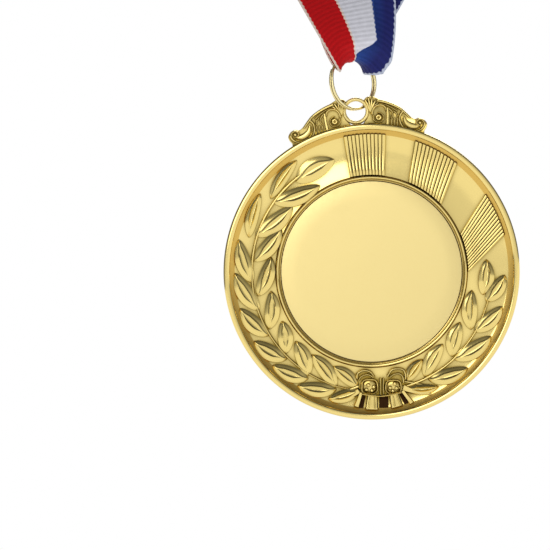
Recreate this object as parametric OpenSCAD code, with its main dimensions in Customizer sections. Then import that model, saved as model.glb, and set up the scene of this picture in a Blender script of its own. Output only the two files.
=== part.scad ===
// Award medal on a neck ribbon: a cast disc with laurel, rays and bow, hung from a split ring.
// Frame: +Z up, the medal faces -Y, and the origin is where the ribbon rests on the nape of the neck.

/* [Disc] */
// Diameter of the disc
disc_d = 65; // [50:1:80]
// Thickness over the rim
disc_t = 2.8; // [2.4:0.1:4]
// Width of the raised outer bead
bead_w = 1.6; // [1:0.1:2.4]
// Width of the slope from the bead down to the field
bead_slope_w = 0.8; // [0.5:0.1:1.5]
// Depth of the field below the bead
field_depth = 1.1; // [0.8:0.1:1.4]
// Diameter of the plain centre inside its ring
centre_d = 39.8; // [30:0.2:46]
// Width of the ring round the plain centre
centre_ring_w = 1.2; // [0.8:0.1:2]
// Height of that ring above the field
centre_ring_h = 0.6; // [0.3:0.1:0.9]
// Height of the plain centre above the field
centre_h = 0.2; // [0:0.1:0.3]
// Width of the bead on the back
back_bead_w = 2; // [1:0.5:4]
// Depth of the flat back below its bead
back_depth = 0.3; // [0.1:0.1:0.5]

/* [Laurel, rays and bow] */
// Height of the leaves above the field
leaf_h = 0.6; // [0.3:0.1:0.8]
// Width of a leaf
leaf_w = 2.9; // [2:0.1:3.4]
// Height of the midrib above the leaf
midrib_h = 0.15; // [0.1:0.05:0.3]
// Width of the stem
stem_w = 0.7; // [0.4:0.1:1.2]
// Height of the ray panels above the field
ray_h = 0.3; // [0.2:0.05:0.5]
// Height of a single ray above its panel
ray_rib_h = 0.25; // [0.1:0.05:0.4]
// Number of rays in a panel
ray_count = 9; // [5:1:12]
// Height of the bow above the field
bow_h = 0.8; // [0.5:0.1:0.9]

/* [Crest and eye] */
// Height of the eye's centre above the edge of the disc
eye_rise = 2.9; // [2.8:0.1:4]
// Diameter of the hole in the eye
eye_id = 4.6; // [4.5:0.1:6]
// Wall of the eye
eye_wall = 0.7; // [0.5:0.1:1.2]
// Thickness of the eye
eye_t = 1.3; // [1:0.1:1.4]
// Thickness of the crest's wings
crest_t = 1.6; // [1.2:0.1:1.8]
// Height of the scrollwork above the wings
scroll_h = 0.4; // [0.2:0.1:0.5]

/* [Split ring] */
// Outer diameter of the split ring
ring_od = 12.6; // [12:0.2:16]
// Thickness of the ring's wire
wire_t = 0.65; // [0.5:0.05:0.7]
// Angle between the ring and the face of the medal
ring_turn = 37; // [36:1:60]
// Height of the wire's centre above the centre of the eye's hole
wire_in_eye = 0.42; // [0.2:0.01:0.5]

/* [Ribbon] */
// Width of the ribbon
ribbon_w = 22.5; // [20:0.5:25]
// Thickness of the ribbon
ribbon_t = 0.5; // [0.4:0.05:0.8]
// Length of the ribbon from the ring to the nape
ribbon_half = 400; // [320:5:440]
// Angle of each leg from the middle of the V, at the ring
leg_angle = 14; // [10:0.5:18]
// Gap between the two legs where they cross
leg_gap = 0.2; // [0.1:0.05:0.4]
// How far each end passes the middle of the nape
seam_lap = 8; // [5:1:15]
// Diameter of the sewing thread
thread_d = 0.35; // [0.25:0.05:0.5]

/* [Hidden] */
$fn = 96;
gold = "goldenrod";
eps = 0.01;

// Levels of the disc, along the direction that the medal faces
rim_z = disc_t / 2;
field_z = rim_z - field_depth;
back_z = -disc_t / 2;
disc_r = disc_d / 2;
field_r = disc_r - bead_w - bead_slope_w;
ring_in_r = centre_d / 2;
ring_out_r = ring_in_r + centre_ring_w;
band_w = field_r - ring_out_r;
stem_r = ring_out_r + 0.58 * band_w;
tip_clear = 0.25;
stem_overlap = 4;

// Leaves: [angle of the base, angle of the tip], in degrees turned left from the top of the disc
left_outer = [[49, 28], [69.5, 49], [90, 70.5], [103.5, 85], [117, 100], [131, 115], [145, 128], [158.5, 141.5]];
left_inner = [[49, 25], [67, 44.5], [80, 59], [96, 76], [112, 95], [127, 112], [142, 126], [157, 139], [168, 152]];
left_end = [34, 13];
right_outer = [[192, 205], [202, 220], [218, 236.5], [234, 250], [250, 263.5]];
right_inner = [[192, 205], [201, 219], [218, 235], [234, 254]];
right_end = [253, 270.5];

// Ray panels: first and last angle to the right of the top, seen from the rays' own centre
ray_centre_drop = 20;
top_rays = [-3.7, 6.9];
middle_rays = [14.4, 26.7];
side_rays = [37.5, 49.8];

// Bow, about its own centre
bow_r = ring_out_r + 0.42 * band_w;
bow_loop_r = 1.9;
bow_loop_x = 2.3;
bow_knot_w = 1.6;
bow_tail_l = 4;
bow_clear_angle = 1;
stem_end = 180 - atan((bow_loop_x + bow_loop_r) / bow_r) - bow_clear_angle;

// Crest and eye, about the centre of the disc
eye_y = disc_r + eye_rise;
eye_or = eye_id / 2 + eye_wall;
crest_half_w = 15.4;
volute_r = 1.9;
volute_x = crest_half_w - volute_r;
volute_y = sqrt(pow(disc_r, 2) - pow(volute_x, 2)) + 1.5;

// Split ring: its centre line and where it stands
wire_axial = 2 * wire_t;
ring_r = (ring_od - wire_t) / 2;
ring_centre_over_eye = ring_r + wire_in_eye;

// Saddle of ribbon inside the ring
saddle_half_angle = 36;
saddle_gap = 0.3;
saddle_side_gap = 0.65;
saddle_t = 2 * ribbon_t;
saddle_in = ring_r - wire_t / 2 - saddle_gap;
saddle_half_w = wire_axial / 2 + saddle_side_gap;
saddle_top = ring_r + 2.2;

// Neck and chest as a cone: the ribbon lies on it as a straight strip on the unrolled cone
cone_sector = 90 - leg_angle;
cone_angle = asin(cone_sector / 180);
cone_reach = ribbon_half / sin(cone_sector);
nape_reach = cone_reach * cos(cone_sector);
cone_axis_y = -nape_reach * sin(cone_angle);
cone_apex_z = nape_reach * cos(cone_angle);
leg_offset = (ribbon_t + leg_gap) / 2;
pinch_len = 24;
leg_steps = 72;
leg_tuck = 0.6;
leg_spread = 1.3;
spread_len = 60;

// Where the ring and the medal hang
ring_top = cone_point(ribbon_half, 0, 0);
ring_top_z = ring_top[2] - 1;
ring_centre_z = ring_top_z - ring_r;
eye_z = ring_centre_z - ring_centre_over_eye;
hang_y = ring_top[1];
disc_z = eye_z - eye_y;

// Point on the neck cone: along is the way from the nape, across is up the strip, out is off the cone
function cone_point(along, across, out) =
  let (
    x = along,
    y = nape_reach - across,
    reach = norm([x, y]),
    turn = atan2(x, y) / sin(cone_angle),
    radius = reach * sin(cone_angle) + out * cos(cone_angle)
  )
  [radius * sin(turn), cone_axis_y + radius * cos(turn), cone_apex_z - reach * cos(cone_angle) + out * sin(cone_angle)];

function unit(v) = v / norm(v);
function blend(a, b, t) = a * (1 - t) + b * t;
function ease(t) = t <= 0 ? 0 : t >= 1 ? 1 : t * t * (3 - 2 * t);
function polar(angle, radius) = [-radius * sin(angle), radius * cos(angle)];

// Places a shape drawn flat about the disc's centre, its relief along +Z, on the hanging medal
module on_medal() {
  translate([0, hang_y, disc_z]) rotate([90, 0, 0]) children();
}

// Places a shape drawn about the ring's axis, its top along +Y, on the hanging ring
module on_ring() {
  translate([0, hang_y, ring_centre_z]) rotate([90, 0, ring_turn]) children();
}

// Leaf between two points, pointed at both ends
module leaf_outline(length, width) {
  arc_r = (pow(length, 2) + pow(width, 2)) / (4 * width);
  intersection() {
    translate([0, arc_r - width / 2]) circle(arc_r);
    translate([0, width / 2 - arc_r]) circle(arc_r);
  }
}

module leaf(from, to) {
  way = to - from;
  length = norm(way);
  translate([from[0], from[1], field_z]) rotate(atan2(way[1], way[0])) translate([length / 2, 0, 0]) {
    linear_extrude(leaf_h) leaf_outline(length, leaf_w);
    linear_extrude(leaf_h + midrib_h) leaf_outline(length * 0.7, leaf_w * 0.16);
  }
}

module branch(outer, inner, end, stem_from, stem_to) {
  tip_out = field_r - tip_clear;
  tip_in = ring_out_r + tip_clear;
  for (a = outer) leaf(polar(a[0], stem_r + 0.3), polar(a[1], tip_out));
  for (a = inner) leaf(polar(a[0], stem_r - 0.3), polar(a[1], tip_in + 0.6));
  leaf(polar(end[0], stem_r - 0.4), polar(end[1], stem_r - 0.4));
  translate([0, 0, field_z]) rotate(90 + stem_from) rotate_extrude(angle = stem_to - stem_from)
    translate([stem_r - stem_w / 2, 0]) square([stem_w, leaf_h / 2]);
}

// Panel of rays that spread from a point below the disc's centre
module ray_panel(span) {
  far = 2 * disc_d;
  pitch = (span[1] - span[0]) / ray_count;
  intersection() {
    translate([0, 0, field_z]) difference() {
      cylinder(h = ray_h + ray_rib_h, r = field_r - tip_clear);
      translate([0, 0, -eps]) cylinder(h = 2, r = ring_out_r + tip_clear);
    }
    translate([0, -ray_centre_drop, field_z]) union() {
      linear_extrude(ray_h) polygon([[0, 0], polar(-span[0], far), polar(-span[1], far)]);
      for (i = [0 : ray_count - 1]) {
        from = span[0] + (i + 0.22) * pitch;
        to = span[0] + (i + 0.78) * pitch;
        linear_extrude(ray_h + ray_rib_h) polygon([[0, 0], polar(-from, far), polar(-to, far)]);
      }
    }
  }
}

module medal_disc() {
  color(gold) on_medal() rotate_extrude() polygon([
    [0, back_z + back_depth],
    [disc_r - back_bead_w, back_z + back_depth],
    [disc_r - back_bead_w + back_depth, back_z],
    [disc_r - 0.2, back_z],
    [disc_r, back_z + 0.2],
    [disc_r, rim_z - 0.5],
    [disc_r - bead_w * 0.3, rim_z],
    [disc_r - bead_w * 0.7, rim_z],
    [disc_r - bead_w, rim_z - 0.3],
    [field_r, field_z],
    [ring_out_r, field_z],
    [ring_out_r - 0.3, field_z + centre_ring_h],
    [ring_in_r + 0.3, field_z + centre_ring_h],
    [ring_in_r, field_z + centre_h],
    [0, field_z + centre_h]
  ]);
}

module laurel_left() {
  color(gold) on_medal() branch(left_outer, left_inner, left_end, left_end[0] - stem_overlap, stem_end);
}

module laurel_right() {
  color(gold) on_medal() branch(right_outer, right_inner, right_end, 360 - stem_end, right_end[0] + stem_overlap);
}

module ray_panel_top() {
  color(gold) on_medal() ray_panel(top_rays);
}

module ray_panel_middle() {
  color(gold) on_medal() ray_panel(middle_rays);
}

module ray_panel_side() {
  color(gold) on_medal() ray_panel(side_rays);
}

module bow_half() {
  translate([bow_loop_x, 0]) difference() {
    circle(bow_loop_r);
    circle(bow_loop_r * 0.45);
  }
  polygon([[0.2, -0.5], [1.2, -0.7], [3.6, -bow_tail_l], [1.9, -bow_tail_l]]);
}

module wreath_bow() {
  color(gold) on_medal() translate([0, -bow_r, field_z]) linear_extrude(bow_h) {
    bow_half();
    mirror([1, 0]) bow_half();
    translate([-bow_knot_w / 2, -1]) square([bow_knot_w, 2]);
  }
}

// Outline of the crest's right wing
module crest_wing_outline() {
  polygon([
    [0, disc_r - 2],
    [volute_x + volute_r * 0.9, volute_y - 3],
    [volute_x + volute_r * 0.9, volute_y],
    [volute_x, volute_y + volute_r * 0.9],
    [volute_x - 2, volute_y + 1.2],
    [eye_or + 7.5, eye_y - 1],
    [eye_or + 4.8, eye_y + 0.9],
    [eye_or + 1, eye_y + 2.6],
    [eye_or - 0.4, eye_y + 2.2],
    [0, eye_y]
  ]);
  translate([volute_x, volute_y]) circle(volute_r);
}

module disc_space() {
  translate([0, 0, -disc_t]) cylinder(h = 2 * disc_t, r = disc_r);
}

module crest_wing() {
  difference() {
    translate([0, 0, -crest_t / 2]) linear_extrude(crest_t) crest_wing_outline();
    disc_space();
    translate([0, eye_y, -disc_t]) cylinder(h = 2 * disc_t, r = eye_or);
  }
}

module crest_wing_right() {
  color(gold) on_medal() crest_wing();
}

module crest_wing_left() {
  color(gold) on_medal() mirror([1, 0, 0]) crest_wing();
}

// Raised scrollwork on the right wing
module crest_scroll() {
  difference() {
    translate([0, 0, crest_t / 2]) {
      translate([volute_x, volute_y]) difference() {
        cylinder(h = scroll_h, r = volute_r * 0.95);
        translate([0, 0, -eps]) cylinder(h = 1, r = volute_r * 0.55);
      }
      translate([eye_or + 2.4, eye_y - 0.6]) difference() {
        cylinder(h = scroll_h, r = 1.5);
        translate([0, 0, -eps]) cylinder(h = 1, r = 0.8);
      }
      linear_extrude(scroll_h) polygon([
        [volute_x - 1.2, volute_y + 0.2],
        [volute_x - 2, volute_y + 1],
        [eye_or + 5.2, eye_y - 0.2],
        [eye_or + 3.6, eye_y - 0.4],
        [eye_or + 3.6, eye_y - 1.2],
        [eye_or + 5.6, eye_y - 1.2]
      ]);
    }
    disc_space();
  }
}

module crest_scroll_right() {
  color(gold) on_medal() crest_scroll();
}

module crest_scroll_left() {
  color(gold) on_medal() mirror([1, 0, 0]) crest_scroll();
}

module hanging_eye() {
  color(gold) on_medal() difference() {
    translate([0, eye_y, -eye_t / 2]) cylinder(h = eye_t, r = eye_or);
    translate([0, eye_y, -eye_t]) cylinder(h = 2 * eye_t, r = eye_id / 2);
    disc_space();
  }
}

// Two turns of wire that lie side by side
module split_ring() {
  turn_r = wire_t / 2;
  color(gold) on_ring() rotate_extrude() for (side = [-1, 1]) translate([ring_r, side * turn_r]) {
    intersection() {
      square(wire_t, center = true);
      circle(turn_r * 1.2);
    }
  }
}

// Ribbon drawn together under the top of the ring, as a saddle round its wire
module ribbon_bight() {
  color("white") on_ring() rotate(90 - saddle_half_angle) rotate_extrude(angle = 2 * saddle_half_angle) {
    translate([saddle_in - saddle_t, -saddle_half_w - saddle_t])
      square([saddle_t, 2 * (saddle_half_w + saddle_t)]);
    for (side = [-1, 1])
      translate([saddle_in - saddle_t, side * (saddle_half_w + saddle_t / 2) - saddle_t / 2])
        square([saddle_top - saddle_in + saddle_t, saddle_t]);
  }
}

// One station of a leg: middle, half-width vector and outward unit vector. side is -1 in front, 1 behind
function leg_station(side, along) =
  let (
    left = ribbon_half - along,
    apart = left < spread_len ? pow(sin(180 * left / spread_len), 2) : 0,
    shift = -side * (leg_offset + leg_spread * apart),
    middle = cone_point(side * along, 0, shift),
    top = cone_point(side * along, ribbon_w / 2, shift),
    low = cone_point(side * along, -ribbon_w / 2, shift),
    half = (top - low) / 2 * -side,
    share = ease(left / pinch_len),
    across = [cos(ring_turn), sin(ring_turn), 0],
    off = [sin(ring_turn), -cos(ring_turn), 0] * -side * (saddle_half_w + saddle_t / 2),
    start = [0, hang_y, ring_centre_z + saddle_top - leg_tuck] + off,
    way = unit(cone_point(side * (ribbon_half - 1), 0, 0) - ring_top),
    w = blend(across * ring_r * sin(saddle_half_angle), half, share),
    c = blend(start + way * left, middle, share)
  )
  [c, w];

function leg_ring(side, along, ahead) =
  let (
    here = leg_station(side, along),
    next = leg_station(side, ahead),
    out = unit(cross(unit(next[0] - here[0]), here[1])) * ribbon_t / 2
  )
  [here[0] - here[1] - out, here[0] + here[1] - out, here[0] + here[1] + out, here[0] - here[1] + out];

// Sweeps a leg from the nape to the ring as one closed strip
module leg(side) {
  span = ribbon_half + seam_lap;
  stations = [for (i = [0 : leg_steps]) -seam_lap + span * i / leg_steps];
  rings = [for (s = stations) leg_ring(side, s, s + 0.5)];
  points = [for (r = rings) for (p = r) p];
  sides = [for (i = [0 : leg_steps - 1]) for (k = [0 : 3])
    let (a = 4 * i + k, b = 4 * i + (k + 1) % 4)
    each k < 2 ? [[a, b, b + 4], [a, b + 4, a + 4]] : [[a, b, a + 4], [b, b + 4, a + 4]]];
  last = 4 * leg_steps;
  caps = [[0, 3, 2], [0, 2, 1], [last, last + 1, last + 2], [last, last + 2, last + 3]];
  polyhedron(points, concat(sides, caps));
}

module ribbon_front_leg() {
  color("firebrick") leg(-1);
}

module ribbon_back_leg() {
  color("navy") leg(1);
}

// Two rows of stitches through both ends at the nape
module seam_thread() {
  stitch_l = 2.2;
  stitch_pitch = 3.2;
  stitches = 6;
  color("white") for (row = [-1, 1], i = [0 : stitches - 1]) {
    across = (i - (stitches - 1) / 2) * stitch_pitch;
    along = row * seam_lap * 0.6;
    turn = atan2(along, nape_reach - across) / sin(cone_angle);
    translate(cone_point(along, across, 0)) rotate([cone_angle, 0, -turn])
      stitch(stitch_l, 2 * leg_offset + ribbon_t + thread_d);
  }
}

// One loop of thread round both ends, long way up
module stitch(length, depth) {
  for (side = [-1, 1]) {
    translate([0, side * depth / 2, -length / 2]) cylinder(h = length, d = thread_d, $fn = 24);
    translate([0, depth / 2, side * length / 2]) rotate([90, 0, 0]) cylinder(h = depth, d = thread_d, $fn = 24);
    for (end = [-1, 1]) translate([0, side * depth / 2, end * length / 2]) sphere(d = thread_d, $fn = 24);
  }
}

medal_disc();
laurel_left();
laurel_right();
ray_panel_top();
ray_panel_middle();
ray_panel_side();
wreath_bow();
crest_wing_left();
crest_wing_right();
crest_scroll_left();
crest_scroll_right();
hanging_eye();
split_ring();
ribbon_bight();
ribbon_front_leg();
ribbon_back_leg();
seam_thread();
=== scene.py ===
"""Looks of the award medal on its neck ribbon. Lengths are millimetres until a mesh is made."""
import math

import bmesh
import bpy
import numpy as np
from mathutils import Matrix, Vector


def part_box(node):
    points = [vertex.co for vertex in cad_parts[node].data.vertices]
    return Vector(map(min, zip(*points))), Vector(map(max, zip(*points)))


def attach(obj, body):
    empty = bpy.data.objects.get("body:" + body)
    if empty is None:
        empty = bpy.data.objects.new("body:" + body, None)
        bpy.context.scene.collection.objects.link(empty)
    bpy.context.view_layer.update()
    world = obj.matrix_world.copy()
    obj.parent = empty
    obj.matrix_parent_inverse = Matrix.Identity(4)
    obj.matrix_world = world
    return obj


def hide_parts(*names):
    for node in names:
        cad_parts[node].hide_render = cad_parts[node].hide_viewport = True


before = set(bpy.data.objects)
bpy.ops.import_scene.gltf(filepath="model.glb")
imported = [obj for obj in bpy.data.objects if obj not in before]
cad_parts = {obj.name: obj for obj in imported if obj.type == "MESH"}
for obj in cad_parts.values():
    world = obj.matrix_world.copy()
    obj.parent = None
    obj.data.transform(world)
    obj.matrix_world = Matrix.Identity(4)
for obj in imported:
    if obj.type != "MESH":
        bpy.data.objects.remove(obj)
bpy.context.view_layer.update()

MM = 0.001
TAU = 2 * math.pi


# ---------------------------------------------------------------- places, from the frame
def box_mm(node):
    low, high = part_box(node)
    return low / MM, high / MM


disc_low, disc_high = box_mm("medal_disc")
DISC_R = (disc_high.x - disc_low.x) / 2
RIM_Z = (disc_high.y - disc_low.y) / 2
HANG_Y = (disc_high.y + disc_low.y) / 2
DISC_Z = (disc_high.z + disc_low.z) / 2

eye_low, eye_high = box_mm("hanging_eye")
EYE_OUT_R = (eye_high.x - eye_low.x) / 2
EYE_Y = eye_high.z - DISC_Z - EYE_OUT_R
EYE_HALF_T = (eye_high.y - eye_low.y) / 2

ring_low, ring_high = box_mm("split_ring")
RING_OUT_R = (ring_high.z - ring_low.z) / 2
RING_Z = (ring_high.z + ring_low.z) / 2

# ---------------------------------------------------------------- sizes
# Split ring, turned from the face of the medal
WIRE_T = 0.65
RING_TURN = math.radians(37)
RING_R = RING_OUT_R - WIRE_T / 2

# Disc, from the edge inwards: bead, slope, dished field, band, plain centre
BEAD_W = 1.6
BEAD_HALF = 0.68
SLOPE_W = 0.9
FIELD_DEPTH = 1.1
FIELD_Z = RIM_Z - FIELD_DEPTH
FIELD_DISH = 0.3
FIELD_R = DISC_R - BEAD_W - SLOPE_W
CENTRE_R = 19.9
RING_BAND_W = 1.2
BAND_IN_R = CENTRE_R + RING_BAND_W
CENTRE_Z = FIELD_Z + 0.2
STEM_R = 26.3
SINK = 0.12  # how far a raised form runs down into what it stands on
RIDGE_STEPS = 11

# Ribbon
RIBBON_W = 22.5
RIBBON_T = 0.5
RIBBON_HALF = 400  # from the ring to the nape
LEG_ANGLE = 14  # degrees from the middle of the V to each leg, at the ring
LEG_GAP = 0.2  # between the two legs where they cross
SEAM_LAP = 8  # how far each end passes the middle of the nape
RIB_PITCH = 0.95
WARP_PITCH = 0.28


# ---------------------------------------------------------------- mesh helpers
class Shape:
    """Vertices, faces and each face's material number, for one piece made of closed lofts."""

    def __init__(self):
        self.points = []
        self.faces = []
        self.marks = []

    def loft(self, sections, closed=False, mark=0):
        """Joins loops of points, all of one length, into a skin that is capped, or closed on itself."""
        sections = np.asarray(sections, float)
        count, size = sections.shape[:2]
        first = len(self.points)
        self.points.extend(sections.reshape(-1, 3).tolist())
        last = count if closed else count - 1
        for i in range(last):
            a, b = first + i * size, first + (i + 1) % count * size
            for j in range(size):
                k = (j + 1) % size
                self.faces.append((a + j, a + k, b + k, b + j))
                self.marks.append(mark)
        if not closed:
            self.faces.append(tuple(first + j for j in reversed(range(size))))
            self.faces.append(tuple(first + (count - 1) * size + j for j in range(size)))
            self.marks.extend([mark, mark])

    def piece(self, name, place, materials, body, nodes=(), sharp=35):
        """Makes the Blender object, in metres, riding on its body."""
        mesh = bpy.data.meshes.new(name)
        mesh.from_pydata((place(np.array(self.points)) * MM).tolist(), [], self.faces)
        mesh.polygons.foreach_set("material_index", self.marks)
        edit = bmesh.new()
        edit.from_mesh(mesh)
        bmesh.ops.remove_doubles(edit, verts=edit.verts, dist=1e-6)
        bmesh.ops.dissolve_degenerate(edit, edges=edit.edges, dist=1e-7)
        bmesh.ops.recalc_face_normals(edit, faces=edit.faces)
        edit.to_mesh(mesh)
        edit.free()
        mesh.shade_smooth()
        for face in mesh.polygons:
            face.use_smooth = len(face.vertices) <= 4
        mesh.set_sharp_from_angle(angle=math.radians(sharp))
        made = bpy.data.objects.new(name, mesh)
        bpy.context.scene.collection.objects.link(made)
        for material in materials:
            mesh.materials.append(material)
        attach(made, body)
        if nodes:
            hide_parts(*nodes)
        return made


def on_medal(points):
    """Medal's own frame (right, up, towards the viewer) to the shared frame."""
    return np.stack([points[:, 0], HANG_Y - points[:, 2], DISC_Z + points[:, 1]], axis=1)


def on_ring(points):
    """Ring's own frame (along its face, up, along its axis) to the shared frame."""
    x, y, z = points.T
    c, s = math.cos(RING_TURN), math.sin(RING_TURN)
    return np.stack([x * c + z * s, HANG_Y + x * s - z * c, RING_Z + y], axis=1)


def as_placed(points):
    """For points that are in the shared frame already."""
    return points


def polar(angle, radius):
    """Point turned left from the top of the disc, in degrees."""
    turn = math.radians(angle)
    return np.array([-radius * math.sin(turn), radius * math.cos(turn)])


def smooth_path(points, count):
    """Catmull-Rom curve through the points."""
    p = np.asarray(points, float)
    p = np.vstack([2 * p[0] - p[1], p, 2 * p[-1] - p[-2]])
    out = []
    for u in np.linspace(0, len(p) - 3, count):
        i = min(int(u), len(p) - 4)
        t = u - i
        a, b, c, d = p[i:i + 4]
        out.append(0.5 * (2 * b + (c - a) * t + (2 * a - 5 * b + 4 * c - d) * t * t
                          + (3 * b - a - 3 * c + d) * t ** 3))
    return np.array(out)


def ease(t):
    """Smooth step from 0 to 1."""
    t = np.clip(t, 0, 1)
    return t * t * (3 - 2 * t)


def field_level(radius):
    """The field is a shallow dish between the inner band and the slope."""
    share = (np.asarray(radius) - BAND_IN_R) / (FIELD_R - BAND_IN_R)
    return FIELD_Z - FIELD_DISH * np.clip(4 * share * (1 - share), 0, 1)


def level_at(point):
    """Height of the field at a point of the disc's face."""
    return float(field_level(np.linalg.norm(point)))


def lathe(shape, profile, steps, centre=(0, 0)):
    """Turns a closed profile of (radius, height) round the axis towards the viewer."""
    profile = np.asarray(profile, float)
    turns = np.arange(steps) * TAU / steps
    sections = [
        np.stack([
            centre[0] + profile[:, 0] * math.cos(turn),
            centre[1] + profile[:, 0] * math.sin(turn),
            profile[:, 1],
        ], axis=1)
        for turn in turns
    ]
    shape.loft(sections, closed=True)


def arc(centre, radii, start, end, count):
    """Points of an ellipse's arc, angles in degrees."""
    turns = np.radians(np.linspace(start, end, count))
    return [(centre[0] + radii[0] * math.cos(t), centre[1] + radii[1] * math.sin(t)) for t in turns]


def ridge(shape, path, width, height, level, count=24, sink=SINK, flat=0.0, mark=0, on_field=False):
    """Half-round band along a flat path.

    width and height are numbers or functions of the share of the way. flat is the share of the height that
    is cut off the top. on_field counts level from the dished field instead of from the medal's middle.
    """
    path = smooth_path(path, count)
    ahead = np.gradient(path, axis=0)
    ahead /= np.linalg.norm(ahead, axis=1)[:, None] + 1e-12
    side = np.stack([-ahead[:, 1], ahead[:, 0]], axis=1)
    sections = []
    for i, middle in enumerate(path):
        t = i / (count - 1)
        half = (width(t) if callable(width) else width) / 2
        top = height(t) if callable(height) else height
        base = level + (level_at(middle) if on_field else 0)
        loop = []
        for turn in np.radians(np.linspace(0, 180, RIDGE_STEPS)):
            across, up = math.cos(turn), math.sin(turn)
            up = min(up, 1 - flat) / (1 - flat)
            loop.append([*(middle + side[i] * half * across), base + top * up])
        loop.append([*(middle - side[i] * half), base - sink])
        loop.append([*(middle + side[i] * half), base - sink])
        sections.append(loop)
    shape.loft(sections, mark=mark)


def dome(shape, centre, radius, height, level, dimple=0.0, sink=SINK):
    """Round boss, with an optional dimple at its middle."""
    profile = [(0, level - sink), (radius, level - sink)]
    for share in np.linspace(1, 0, 10):
        up = math.sqrt(max(0, 1 - share ** 2)) * height - dimple * math.exp(-(share * 3) ** 2)
        profile.append((radius * share, level + up))
    lathe(shape, profile, 28, centre)


# ---------------------------------------------------------------- materials
def node_material(name, base, metallic, roughness):
    """A new material, its node tree and its main shader."""
    made = bpy.data.materials.new(name)
    made.use_nodes = True
    tree = made.node_tree
    shader = tree.nodes["Principled BSDF"]
    shader.inputs["Base Color"].default_value = (*base, 1)
    shader.inputs["Metallic"].default_value = metallic
    shader.inputs["Roughness"].default_value = roughness
    return made, tree, shader


def add_node(tree, kind, **values):
    """A new node, with each value set on the input or the property of that name."""
    made = tree.nodes.new(kind)
    for key, value in values.items():
        if key in made.inputs:
            made.inputs[key].default_value = value
        else:
            setattr(made, key, value)
    return made


def ramp(tree, source, stops, interpolation="LINEAR"):
    """Colour ramp. Each stop is a place and a grey or a colour."""
    made = tree.nodes.new("ShaderNodeValToRGB")
    made.color_ramp.interpolation = interpolation
    elements = made.color_ramp.elements
    while len(elements) < len(stops):
        elements.new(0.5)
    for element, (at, value) in zip(elements, stops):
        element.position = at
        element.color = (*value, 1) if hasattr(value, "__len__") else (value, value, value, 1)
    tree.links.new(source, made.inputs[0])
    return made.outputs[0]


# Share of open sky at which the painted shade in hollows is full, and at which there is none
SHADE_FULL_AT, SHADE_NONE_AT = 0.42, 0.95


def gold(name, base, shade_colour, roughness, grain, bump, reach, metallic=1.0):
    """Gold plating with painted shade: a darker colour in hollows within reach (in metres), mixed in by
    ambient occlusion, and fine grain in its gloss.
    """
    made, tree, shader = node_material(name, base, metallic, roughness)
    place = add_node(tree, "ShaderNodeTexCoord")
    noise = add_node(tree, "ShaderNodeTexNoise", Scale=grain, Detail=4.0)
    tree.links.new(place.outputs["Object"], noise.inputs["Vector"])
    # painted shade: ambient occlusion darkens the colour in hollows
    shade_occlusion = add_node(tree, "ShaderNodeAmbientOcclusion", samples=12, Distance=reach)
    mix = add_node(tree, "ShaderNodeMix", data_type="RGBA")
    mix.inputs["A"].default_value = (*shade_colour, 1)
    mix.inputs["B"].default_value = (*base, 1)
    open_share = ramp(tree, shade_occlusion.outputs["AO"], [(SHADE_FULL_AT, 0.0), (SHADE_NONE_AT, 1.0)])
    tree.links.new(open_share, mix.inputs["Factor"])
    tree.links.new(mix.outputs["Result"], shader.inputs["Base Color"])
    rough = add_node(tree, "ShaderNodeMapRange")
    rough.inputs["To Min"].default_value = roughness * 0.8
    rough.inputs["To Max"].default_value = roughness * 1.25
    tree.links.new(noise.outputs["Fac"], rough.inputs["Value"])
    tree.links.new(rough.outputs["Result"], shader.inputs["Roughness"])
    relief = add_node(tree, "ShaderNodeBump", Strength=bump, Distance=0.00005)
    tree.links.new(noise.outputs["Fac"], relief.inputs["Height"])
    tree.links.new(relief.outputs["Normal"], shader.inputs["Normal"])
    return made


# The last of these colours is the blue darkened by painted shade
RED, WHITE, BLUE, SHADED_BLUE = (0.60, 0.004, 0.007), (0.76, 0.76, 0.83), (0.018, 0.062, 0.29), (0.014, 0.018, 0.14)
CREAM, PALE = (0.86, 0.72, 0.62), (0.55, 0.60, 0.74)
# Stripes and the light threads at their edges, by share of the width; the blue darkens to navy towards its
# edge as painted shade
STRIPES = [
    (0.0, CREAM), (0.020, CREAM), (0.024, RED), (0.322, RED), (0.324, CREAM), (0.338, CREAM), (0.342, WHITE),
    (0.655, WHITE), (0.661, BLUE), (0.76, BLUE), (0.90, SHADED_BLUE), (0.978, SHADED_BLUE), (0.982, PALE), (1.0, PALE),
]
STRIPE_WOBBLE = 0.09


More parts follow.
